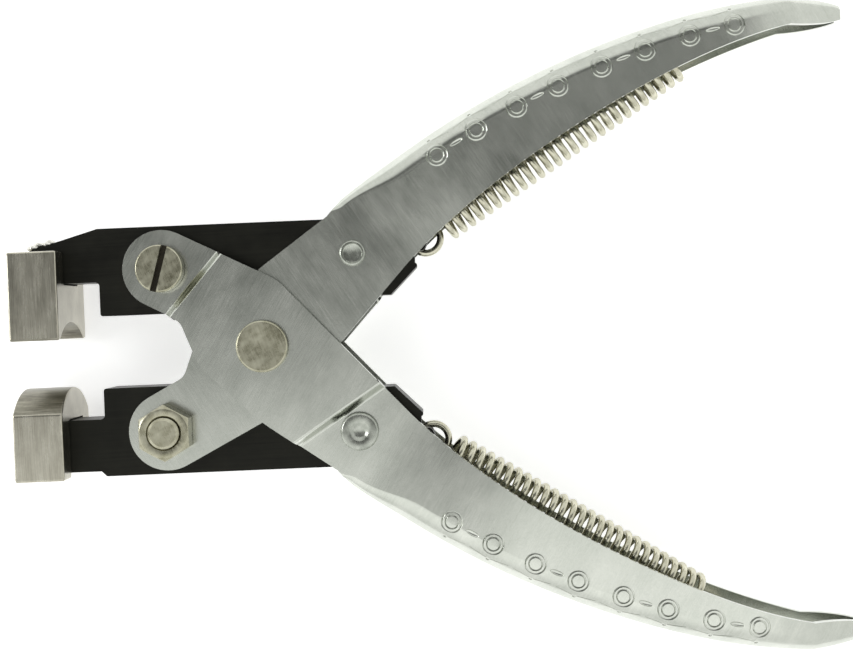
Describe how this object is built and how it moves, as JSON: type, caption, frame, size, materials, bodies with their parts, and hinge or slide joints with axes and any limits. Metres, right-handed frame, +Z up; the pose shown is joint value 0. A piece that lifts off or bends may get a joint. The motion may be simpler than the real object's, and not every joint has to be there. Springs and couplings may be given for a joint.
{
  "type": "parallel-action forming pliers",
  "caption": "Parallel-action hand pliers with sprung folded-steel handles, slotted jaw bars and a matched concave and convex forming die.",
  "frame": {"origin": "centre of the flat lower face of the pivot rivet", "axes": "+X from the pivot to the grips, +Y to the upper handle, +Z up along the pivot axis with the tool lying flat"},
  "size_m": [0.165, 0.1292, 0.0237],
  "materials": {
    "handle_steel": "nickel-plated pressed sheet steel, satin brushed",
    "blackened_steel": "black oxide on machined steel, semi-matte",
    "bare_steel": "ground bare tool steel, brushed across the jaw",
    "nickel": "nickel-plated fasteners with turned faces",
    "spring_wire": "drawn and plated spring wire",
    "braze": "silver braze, bright and lumpy"
  },
  "bodies": {
    "lower_handle": {"lower_handle": "handle_steel", "lower_slide_rivet": "nickel", "upper_jaw_screw": "nickel", "upper_jaw_nut": "nickel", "pivot_rivet": "nickel", "pivot_bush": "nickel"},
    "upper_handle": {"upper_handle": "handle_steel", "upper_slide_rivet": "nickel", "lower_jaw_screw": "nickel", "lower_jaw_nut": "nickel"},
    "upper_jaw": {"upper_jaw_bar": "blackened_steel", "upper_die": "bare_steel", "upper_weld": "braze"},
    "lower_jaw": {"lower_jaw_bar": "blackened_steel", "lower_die": "bare_steel", "lower_weld": "braze"},
    "upper_spring": {"upper_spring": "spring_wire"},
    "upper_spring_end": {"upper_spring_hook": "spring_wire"},
    "lower_spring": {"lower_spring": "spring_wire"},
    "lower_spring_end": {"lower_spring_hook": "spring_wire"}
  },
  "joints": [
    {"name": "handle_pivot", "type": "hinge", "parent": "lower_handle", "child": "upper_handle", "pos_m": [0, 0, 0.01025], "axis": [0, 0, -1], "range_deg": [0, 33.5], "stiffness_Nm_per_rad": 0.8, "springref_deg": -22.92},
    {"name": "upper_jaw_pivot", "type": "hinge", "parent": "lower_handle", "child": "upper_jaw", "pos_m": [-0.01935, 0.01583, 0.01025], "axis": [0, 0, -1], "range_deg": [0, 16.76]},
    {"name": "lower_jaw_pivot", "type": "hinge", "parent": "upper_handle", "child": "lower_jaw", "pos_m": [-0.01935, -0.01583, 0.01025], "axis": [0, 0, 1], "range_deg": [0, 16.76]},
    {"name": "upper_spring_swing", "type": "hinge", "parent": "upper_handle", "child": "upper_spring", "pos_m": [0.0875, 0.0551, 0.01025], "axis": [0, 0, -1], "range_deg": [0, 4.77]},
    {"name": "lower_spring_swing", "type": "hinge", "parent": "lower_handle", "child": "lower_spring", "pos_m": [0.0875, -0.0551, 0.01025], "axis": [0, 0, 1], "range_deg": [0, 4.77]},
    {"name": "upper_spring_stretch", "type": "slide", "parent": "upper_spring", "child": "upper_spring_end", "axis": [-0.8434, -0.5373, 0], "range_m": [0, 0.00702], "deforming": ["upper_spring", "upper_spring_hook"]},
    {"name": "lower_spring_stretch", "type": "slide", "parent": "lower_spring", "child": "lower_spring_end", "axis": [-0.8434, 0.5373, 0], "range_m": [0, 0.00702], "deforming": ["lower_spring", "lower_spring_hook"]}
  ],
  "couplings": [
    {"joint": "upper_jaw_pivot", "follows": "handle_pivot", "ratio": 0.5},
    {"joint": "lower_jaw_pivot", "follows": "handle_pivot", "ratio": 0.5},
    {"joint": "upper_spring_swing", "follows": "handle_pivot", "ratio": 0.1419},
    {"joint": "lower_spring_swing", "follows": "handle_pivot", "ratio": 0.1419},
    {"joint": "upper_spring_stretch", "follows": "handle_pivot", "m_per_rad": 0.01198},
    {"joint": "lower_spring_stretch", "follows": "handle_pivot", "m_per_rad": 0.01198}
  ]
}
